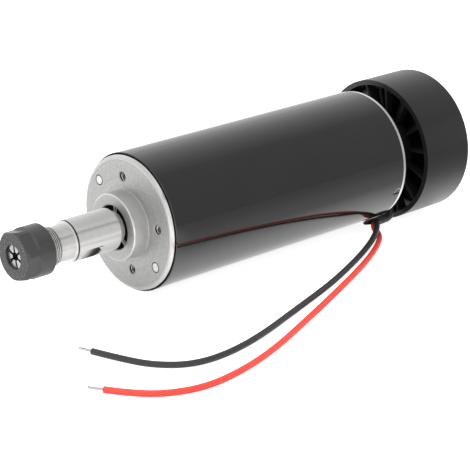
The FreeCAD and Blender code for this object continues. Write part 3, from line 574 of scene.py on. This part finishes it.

# The front bearing takes dark steel races and a near-black cage as painted shade in the opening; the rear one
# takes plain race steel and brass.
finishes = {
    "motor_tube": enamel, "front_bell": cast, "rear_bell": cast_rear, "through_bolts": bolt_steel,
    "front_outer_race": dark_steel, "rear_outer_race": race_steel, "front_inner_race": dark_steel,
    "rear_inner_race": race_steel, "front_balls": ball_steel, "rear_balls": ball_steel,
    "front_ball_cage": void, "rear_ball_cage": brass, "bearing_clip": spring_steel,
    "preload_washer": spring_steel, "magnet_left": ferrite, "magnet_right": ferrite,
    "brush_plate": laminate, "brush_holder_upper": brass, "brush_holder_lower": brass,
    "brush_upper": carbon, "brush_lower": carbon, "brush_spring_upper": spring_steel,
    "brush_spring_lower": spring_steel, "fan_hood": hood_black, "hood_screws": dark_steel,
    "lead_grommet": grommet_black, "cable_sleeve": sleeving, "black_lead_tail": insulation_black,
    "red_lead_tail": insulation_red, "black_lead": insulation_black, "red_lead": insulation_red,
    "black_lead_tip": tinned, "red_lead_tip": tinned, "motor_shaft": steel, "collet_holder": steel,
    "armature_core": lamination, "windings": copper_wire, "commutator_hub": laminate,
    "commutator_bars": copper_bar, "cooling_fan": fan_black, "fan_clip": spring_steel,
    "collet": jaw, "collet_nut": oxide,
}
for name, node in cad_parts.items():
    if not len(node.data.materials):
        node.data.materials.append(finishes[name])
        continue
    for slot in node.material_slots:
        slot.link = "OBJECT"
        slot.material = finishes[name]


# Shrink sleeve over the two leads: a hairpin over the tube's rear edge, cut open towards the table.
# Each row of the tongue's cut is a place along the axis and the start and end of the kept oval.

SLEEVE_DEG = -119.0
SLEEVE_W, SLEEVE_H, SLEEVE_WALL = 5.5, 3.1, 0.25
SLEEVE_START_X, SLEEVE_TURN_X = 114.1, 121.1
SLEEVE_LOW_R, SLEEVE_HIGH_R = 20.83, 27.9
SLEEVE_TUBE_GAP = 0.03
SLEEVE_PRESS_X = TUBE_REAR_X + 0.8
SLEEVE_COLUMNS = 44
CREASE_DEPTH, FLUTE_DEPTH = 0.035, 0.03
WHOLE_OVAL = (130, 490)
TONGUE_CUT = (
    (118.5, 132, 486), (118.1, 140, 470), (117.7, 160, 445), (117.2, 185, 415), (116.6, 200, 390),
    (115.9, 207, 378), (115.1, 211, 370), (114.3, 213, 364), (113.5, 214, 359), (112.8, 215, 355),
    (112.3, 217, 350), (111.95, 221, 342), (111.7, 229, 330), (111.55, 243, 312),
)


def sleeve_stations():
    """Places (x, r), headings and kept sectors of the oval, from the grommet to the tongue's tip."""
    straight, turn = 6, 16
    bend, middle = (SLEEVE_HIGH_R - SLEEVE_LOW_R) / 2, (SLEEVE_LOW_R + SLEEVE_HIGH_R) / 2
    rows = []
    for i in range(straight):
        x = SLEEVE_START_X + (SLEEVE_TURN_X - SLEEVE_START_X) * i / straight
        rows.append(((x, SLEEVE_LOW_R), (1.0, 0.0), WHOLE_OVAL))
    for i in range(turn + 1):
        a = math.pi * i / turn
        place = (SLEEVE_TURN_X + bend * math.sin(a), middle - bend * math.cos(a))
        rows.append((place, (math.cos(a), math.sin(a)), WHOLE_OVAL))
    for x in (120.4, 119.7, 119.0):
        rows.append(((x, SLEEVE_HIGH_R), (-1.0, 0.0), WHOLE_OVAL))
    for x, start, end in TONGUE_CUT:
        rows.append(((x, SLEEVE_HIGH_R), (-1.0, 0.0), (start, end)))
    return rows


def oval(deg, width, height):
    """Point (across, out) of a flat oval."""
    a = math.radians(deg)
    flat = (width - height) / 2
    across = height / 2 * math.cos(a) + flat * max(-1.0, min(1.0, 1.6 * math.cos(a)))
    return across, height / 2 * math.sin(a)


def body_gap(across):
    """From the sleeve's centre line down to just over the tube's surface, in mm."""
    return SLEEVE_HIGH_R - (TUBE_R + SLEEVE_TUBE_GAP) + across * across / (2 * TUBE_R)


def sleeve_point(i, station, deg, inset):
    """Point of the sleeve's skin with its wrinkles, pressed down where it lies over the tube."""
    (x, r), (dx, dr), _ = station
    theta = math.radians(SLEEVE_DEG)
    radial = Vector((0, math.cos(theta), math.sin(theta)))
    across = Vector((0, -math.sin(theta), math.cos(theta)))
    out = Vector((dr, 0, 0)) - radial * dx
    c, o = oval(deg, SLEEVE_W - 2 * inset, SLEEVE_H - 2 * inset)
    crease = 0.5 + 0.5 * math.sin(2.3 * i + 1.7 * math.sin(math.radians(2 * deg)))
    flute = 0.5 + 0.5 * math.sin(math.radians(5 * deg) + 0.35 * i)
    shrink = 1.0 - CREASE_DEPTH * crease - FLUTE_DEPTH * flute
    c, o = c * shrink, o * shrink
    over_tube = dx < -0.99
    if over_tube and o < 0:
        pressed = -o / (SLEEVE_H / 2 - inset) * (body_gap(c) - SLEEVE_H / 2)
        o -= pressed * max(0.0, min(1.0, SLEEVE_PRESS_X - x))
    return (Vector((x, 0, 0)) + radial * r + across * c + out * o) * MM


def shrink_sleeve():
    """Outer and inner skin, joined along the cut and at both ends."""
    rows = sleeve_stations()
    verts = []
    for inset in (0.0, SLEEVE_WALL):
        for i, station in enumerate(rows):
            start, end = station[2]
            for k in range(SLEEVE_COLUMNS + 1):
                verts.append(sleeve_point(i, station, start + (end - start) * k / SLEEVE_COLUMNS, inset))
    half, wide = len(verts) // 2, SLEEVE_COLUMNS + 1
    faces = []
    for i in range(len(rows) - 1):
        for k in range(SLEEVE_COLUMNS):
            a, b = i * wide + k, (i + 1) * wide + k
            faces.append((a, b, b + 1, a + 1))
            faces.append((half + a + 1, half + b + 1, half + b, half + a))
        start, end = rows[i + 1][2]
        if end - start < 360:
            a, b = i * wide, (i + 1) * wide
            faces.append((a, half + a, half + b, b))
            a, b = a + SLEEVE_COLUMNS, b + SLEEVE_COLUMNS
            faces.append((b, half + b, half + a, a))
    for a in range(SLEEVE_COLUMNS):
        faces.append((a, a + 1, half + a + 1, half + a))
    for a in range(half - wide, half - 1):
        faces.append((half + a, half + a + 1, a + 1, a))
    return face_outward(mesh_from("sleeve", verts, faces), weld=1e-6)


sleeve = link("shrink_sleeve", shrink_sleeve(), sleeving, "motor")
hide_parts("cable_sleeve")


# Fine detail on the nodes that stay

def ridge(x0, x1, wall, crest, pitch, centre=(0.0, 0.0), flat=0.06, steps=28):
    """Screw ridge from a wall radius to a crest radius, about a line along the axis."""
    turns = (x1 - x0 - pitch * 0.8) / pitch
    count = int(turns * steps)
    verts = []
    for i in range(count + 1):
        a = 2 * math.pi * i / steps
        x = x0 + 0.4 * pitch + pitch * i / steps
        fade = min(1.0, i / (steps / 3), (count - i) / (steps / 3))
        top = wall + (crest - wall) * fade
        for dx, r in ((-0.3 * pitch, wall), (-flat * pitch, top), (flat * pitch, top), (0.3 * pitch, wall)):
            verts.append(Vector((x + dx, centre[0] + r * math.cos(a), centre[1] + r * math.sin(a))) * MM)
    return verts, tube_faces(count + 1, 4)


def revolved(profile, deg0=0.0, deg1=360.0, steps=96):
    """Closed (x, r) profile in mm turned about the axis, all round or over a sector."""
    whole = deg1 - deg0 >= 360
    rings = steps if whole else steps + 1
    verts = [polar(x, r, deg0 + (deg1 - deg0) * i / steps) for i in range(rings) for x, r in profile]
    return verts, tube_faces(rings, len(profile), looped=whole)


def oblong(x0, x1, r0, r1):
    """Four corners (x, r) of a ring's section."""
    return [(x0, r0), (x1, r0), (x1, r1), (x0, r1)]


def joined(parts):
    """One list of vertices and faces from several."""
    verts, faces = [], []
    for v, f in parts:
        faces += [tuple(len(verts) + i for i in face) for face in f]
        verts += v
    return verts, faces


def detail(name, parts, material, body, slot):
    mesh = face_outward(mesh_from(name, *joined(parts)))
    return link(name, mesh, material, body, smooth=False)


TAP_FRONT_X, TAP_REAR_X, TAP_PITCH = 0.25, 6.2, 0.7
NOSE_PITCH = 0.75
SHIELD_FRONT_X, SHIELD_REAR_X, SHIELD_INNER_R = -5.75, -5.5, 5.2
RIB_FRONT_X, RIB_INNER_R = -6.05, 5.4
RIB_HALF_DEG, RIB_PAIR_DEG = 1.7, 4.5

tap_ridges = [ridge(TAP_FRONT_X, TAP_REAR_X, TAP_R + 0.01, TAP_R - 0.27, TAP_PITCH, hole) for hole in taps]
detail("tap_threads", tap_ridges, race_steel, "motor", "cast")
nose_ridge = ridge(NUT_REAR_X + 0.1, THREAD_REAR_X - 0.35, THREAD_R - 0.01, THREAD_R + 0.25, NOSE_PITCH,
                   flat=0.19)
detail("nose_thread", [nose_ridge], steel, "rotor", "nose")
# A near-black ring in the bearing's opening: a shield, and painted shade that makes the gap read black.
shield = oblong(SHIELD_FRONT_X, SHIELD_REAR_X, SHIELD_INNER_R, OPENING_R)
detail("bearing_shield_painted_shade", [revolved(shield)], void, "motor", "cast")
rib = oblong(RIB_FRONT_X, SHIELD_FRONT_X + 0.01, RIB_INNER_R, OPENING_R)
rib_degs = [deg + side for deg in (97, 217, 337) for side in (-RIB_PAIR_DEG, RIB_PAIR_DEG)]
ribs = [revolved(rib, deg - RIB_HALF_DEG, deg + RIB_HALF_DEG, 3) for deg in rib_degs]
detail("shield_ribs", ribs, bright_steel, "motor", "cast")
# A near-black ring at the tube's front edge: the joint line, with painted shade in the gap.
edge = [
    (TUBE_FRONT_X - 0.2, FLANGE_R + 0.01), (TUBE_FRONT_X - 0.01, FLANGE_R - 0.02),
    (TUBE_FRONT_X - 0.01, FLANGE_R + 0.43), (TUBE_FRONT_X - 0.2, FLANGE_R + 0.37),
]
detail("tube_joint_painted_shade", [revolved(edge, steps=180)], void, "motor", "tube")


# Stake mark on the tube, near its rear edge: a raised crescent and three dark strips painted as the slits'
# shade

STAKE_X, STAKE_DEG, STAKE_R = 116.3, -160.5, 1.55


def tube_strip(places, width, height):
    """Raised strip along a chain of (along, around) offsets in mm from the mark's middle."""
    low, high = TUBE_R - 0.05, TUBE_R + height
    verts = []
    for i, (u, v) in enumerate(places):
        a, b = places[max(i - 1, 0)], places[min(i + 1, len(places) - 1)]
        du, dv = b[0] - a[0], b[1] - a[1]
        size = math.hypot(du, dv)
        nu, nv = -dv / size * width / 2, du / size * width / 2
        for side, r in ((1, low), (1, high), (-1, high), (-1, low)):
            deg = STAKE_DEG + math.degrees((v + side * nv) / r)
            verts.append(polar(STAKE_X + (u + side * nu), r, deg))
    return verts, tube_faces(len(places), 4)


sweep = [math.radians(deg) for deg in range(-10, 195, 12)]
crescent = [(STAKE_R * math.cos(a), -STAKE_R * math.sin(a)) for a in sweep]
stake_rim = tube_strip(crescent, width=0.26, height=0.08)
detail("stake_rim", [stake_rim], spring_steel, "motor", "tube")
# Painted shade: near-black strips where the slits are.
slit_chains = [[(u, 0.85), (u + 0.85, 1.0)] for u in (-1.6, -0.5, 0.6)]
slits = [tube_strip(chain, width=0.75, height=0.06) for chain in slit_chains]
detail("stake_slits", slits, void, "motor", "tube")


# Brush springs: coils in place of the spring nodes

def brush_spring(name, node):
    low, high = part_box(node)
    middle = (low + high) / 2
    wire, turns, steps, around = 0.25 * MM, 4, 24, 10
    radius = (high.x - low.x) / 2 - wire
    half = (high.z - low.z) / 2 - wire
    count = turns * steps
    verts = []
    for i in range(count + 1):
        a = 2 * math.pi * i / steps
        for k in range(around):
            b = 2 * math.pi * k / around
            r = radius + wire * math.cos(b)
            z = half * (2 * i / count - 1) + wire * math.sin(b)
            verts.append(middle + Vector((r * math.cos(a), r * math.sin(a), z)))
    mesh = face_outward(mesh_from(name, verts, tube_faces(count + 1, around)))
    mesh.materials.append(spring_steel)
    smooth_faces(mesh)
    spring = new_object(name, mesh)
    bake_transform(spring)
    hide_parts(node)


brush_spring("coil_upper", "brush_spring_upper")
brush_spring("coil_lower", "brush_spring_lower")


# Free leads

black_points = [
    (119.6, -14.576, -23.820), (115.4, -14.576, -23.820), (112.9, -17.5, -24.0), (107.5, -22.0, -24.8),
    (101.0, -25.1, -26.75), (86.0, -33.2, -26.58), (60.5, -45.2, -26.05), (33.0, -55.3, -25.49),
    (6.0, -65.3, -24.94), (-13.5, -69.6, -24.54), (-28.0, -68.6, -24.24), (-38.0, -60.5, -24.04),
    (-43.2, -49.0, -23.93), (-46.6, -38.6, -23.86),
]
red_points = [
    (119.6, -12.477, -24.984), (116.0, -12.477, -24.984), (113.8, -14.8, -26.5), (112.8, -18.6, -27.08),
    (107.5, -24.3, -27.0), (96.5, -31.8, -26.77), (80.5, -40.6, -26.46), (56.0, -52.4, -25.96),
    (29.5, -64.6, -25.42), (3.0, -76.4, -24.88), (-18.0, -83.0, -24.45), (-36.0, -85.2, -24.08),
    (-50.0, -80.6, -23.79), (-58.2, -72.4, -23.63), (-62.6, -65.4, -23.54),
]


def lead_curve(name, points, material):
    curve = bpy.data.curves.new(name, "CURVE")
    curve.dimensions = "3D"
    spline = curve.splines.new("NURBS")
    spline.points.add(len(points) - 1)
    for point, place in zip(spline.points, points):
        point.co = (*(v * MM for v in place), 1)
    spline.order_u = 3
    spline.use_endpoint_u = True
    spline.resolution_u = 16
    curve.bevel_depth = LEAD_D / 2 * MM
    curve.bevel_resolution = 5
    curve.use_fill_caps = True
    return link(name, curve, material, "motor")


def strands(name, points):
    """Tinned end: six twisted strands round a straight one, of uneven length."""
    start = Vector(points[-1]) * MM
    heading = (Vector(points[-1]) - Vector(points[-2])).normalized()
    side = heading.cross(Vector((0, 0, 1))).normalized()
    lift = side.cross(heading)
    wire = TIP_D / 6 * MM
    twist, steps, around = 0.9, 20, 8
    cuts = (0.0, 0.5, 0.15, 0.8, 0.3, 0.65, 0.1)
    straight = len(cuts) - 1
    verts, faces = [], []
    for s, cut in enumerate(cuts):
        reach = (TIP_L - cut) * MM
        out = 0.0 if s == straight else 2 * wire
        first = len(verts)
        for i in range(steps + 1):
            t = i / steps
            turn = 2 * math.pi * (s / straight + twist * t)
            middle = start + heading * (reach * t) + (side * math.cos(turn) + lift * math.sin(turn)) * out
            for k in range(around):
                a = 2 * math.pi * k / around
                verts.append(middle + (side * math.cos(a) + lift * math.sin(a)) * wire)
        faces += [tuple(first + v for v in f) for f in tube_faces(steps + 1, around)]
    return link(name, mesh_from(name, verts, faces), tinned, "motor")


for colour, points, material, length in (
    ("black", black_points, insulation_black, 0.1958),
    ("red", red_points, insulation_red, 0.2097),
):
    tip = strands(colour + "_strands", points)
    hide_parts(colour + "_lead_tip")
    lead = lead_curve(colour + "_wire", points, material)
    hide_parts(colour + "_lead")


# Floor: it touches the tube's front edge and the wider hood, so it falls towards the rear

FLOOR_REACH = 4000
FLOOR_FALL, FLOOR_RUN = 2.6, 127.5


def floor_z(x):
    return -TUBE_R - FLOOR_FALL * (x - TUBE_FRONT_X) / FLOOR_RUN


def white_floor():
    """Lit by the lamps, so it keeps the shadow, with a plain white glow for the camera and reflections.

    In reflections it is shaded in a slanted field on the leads' side, and has a bright strip close by.
    Places are in metres.
    """
    floor_tone, camera_glow, mirror_glow = 0.82, 0.84, 0.25
    material = bpy.data.materials.new("white_floor")
    material.use_nodes = True
    material.node_tree.nodes.clear()
    n = Nodes(material.node_tree)
    is_camera, is_glossy, seen = n.rays()
    x, y, _ = n.split(n.coordinates("Object"))
    nearer = n.rise(y, 0.0, -0.2)

    def slanted(slope):
        """Place along the axis that shifts with the distance from it."""
        return n.math("ADD", x, n.times(y, slope))

    left = n.rise(slanted(0.70), -0.018, -0.002)
    right = n.math("MAXIMUM", n.rise(slanted(0.85), 0.26, 0.23), n.rise(slanted(1.2), 0.0, -0.03))
    fall = n.ramp(nearer, [(0.10, 1.0), (0.16, 0.80), (0.27, 0.52), (0.5, 0.40), (0.8, 0.34)])
    kept = n.inverse(n.times(n.times(n.inverse(fall), is_glossy), n.times(left, right)))
    strip = n.ramp(nearer, [(0.0, 0.0), (0.04, 0.6), (0.13, 0.6), (0.24, 0.0)])
    strip = n.times(n.times(strip, is_glossy), n.rise(x, 0.003, 0.012))
    shown = n.math("ADD", n.times(is_camera, camera_glow), strip)
    mirrored = n.times(n.times(n.math("SUBTRACT", seen, is_camera), kept), mirror_glow)

    diffuse = n.node("ShaderNodeBsdfDiffuse")
    n.join(n.times(kept, floor_tone), diffuse.inputs["Color"])
    glow = n.node("ShaderNodeEmission")
    n.join(n.math("ADD", shown, mirrored), glow.inputs["Strength"])
    both = n.node("ShaderNodeAddShader")
    n.join(diffuse.outputs[0], both.inputs[0])
    n.join(glow.outputs[0], both.inputs[1])
    n.join(both.outputs[0], n.node("ShaderNodeOutputMaterial").inputs["Surface"])
    return material


floor_corners = [(x * FLOOR_REACH, y * FLOOR_REACH) for x, y in ((-1, -1), (1, -1), (1, 1), (-1, 1))]
floor_verts = [Vector((x, y, floor_z(x))) * MM for x, y in floor_corners]
floor = new_object("floor", mesh_from("floor", floor_verts, [(0, 1, 2, 3)]))
floor.data.materials.append(white_floor())


# Lamps and world

def lamp(name, place, aim, size, watts):
    data = bpy.data.lights.new(name, "AREA")
    data.shape = "RECTANGLE"
    data.size, data.size_y = size
    data.energy = watts
    obj = new_object(name, data)
    obj.location = place
    obj.rotation_euler = (Vector(aim) - Vector(place)).to_track_quat("-Z", "Y").to_euler()
    obj.visible_glossy = False


lamp("softbox_top", (0.05, 0.25, 1.15), (0.03, 0, 0), (1.3, 0.9), 8.5)
lamp("softbox_left", (-1.0, -0.45, 0.55), (0, 0, 0), (0.7, 0.7), 4.5)


def studio_world():
    """White to the camera; its reflections have a dim patch, a dark streak and a grey ceiling.

    Angles are in degrees about the axis, 0 at the horizon on the -Y side and 90 straight up.
    """
    room_light, patch_dark, streak_dark, ceiling_dark, streak_least = 0.8, 0.64, 0.95, 0.2, 0.38
    world = bpy.data.worlds.new("studio")
    world.use_nodes = True
    world.node_tree.nodes.clear()
    n = Nodes(world.node_tree)
    x, y, z = n.split(n.coordinates("Generated"))
    angle = n.times(n.math("ARCTAN2", z, n.times(y, -1)), 180 / math.pi)
    window = n.band(x, 0.49, 0.54, 0.73, 0.78)
    patch = n.times(n.band(angle, -60, -20, 85, 150), window)
    to_side = n.math("ADD", streak_least, n.times(n.rise(x, -0.25, 0.1), 1 - streak_least))
    streak = n.times(n.band(angle, 41, 46, 50, 55), n.math("SUBTRACT", to_side, window), True)
    ceiling = n.times(n.band(angle, 66, 84, 120, 150), n.inverse(window))
    dark = n.math("MAXIMUM", n.times(patch, patch_dark), n.times(streak, streak_dark))
    dark = n.math("MAXIMUM", dark, n.times(ceiling, ceiling_dark))

    is_camera, _, seen = n.rays()
    mirrored = n.times(n.math("SUBTRACT", seen, is_camera), n.inverse(dark))
    light = n.times(n.inverse(seen), room_light)
    back = n.node("ShaderNodeBackground")
    back.inputs["Color"].default_value = (1, 1, 1, 1)
    n.join(n.math("ADD", n.math("ADD", mirrored, is_camera), light), back.inputs["Strength"])
    n.join(back.outputs[0], n.node("ShaderNodeOutputWorld").inputs["Surface"])
    return world


bpy.context.scene.world = studio_world()


# Camera at the photograph's viewing angle, from a fit to the object's circles

CAMERA_PLACE = Vector((-397.385, -504.441, 238.719)) * MM
CAMERA_RIGHT = (0.74628099, -0.66563104, 0.0)
CAMERA_UP = (0.23618621, 0.26480327, 0.93493064)
CAMERA_BACK = (-0.62231885, -0.69772097, 0.35483052)

camera_data = bpy.data.cameras.new("camera")
camera_data.sensor_width = 36
camera_data.lens = 144.22
camera_data.clip_start = 0.01
camera = new_object("camera", camera_data)
camera_matrix = Matrix((CAMERA_RIGHT, CAMERA_UP, CAMERA_BACK)).transposed().to_4x4()
camera_matrix.translation = CAMERA_PLACE
camera.matrix_world = camera_matrix
bpy.context.scene.camera = camera
bpy.context.scene.view_settings.view_transform = "Standard"
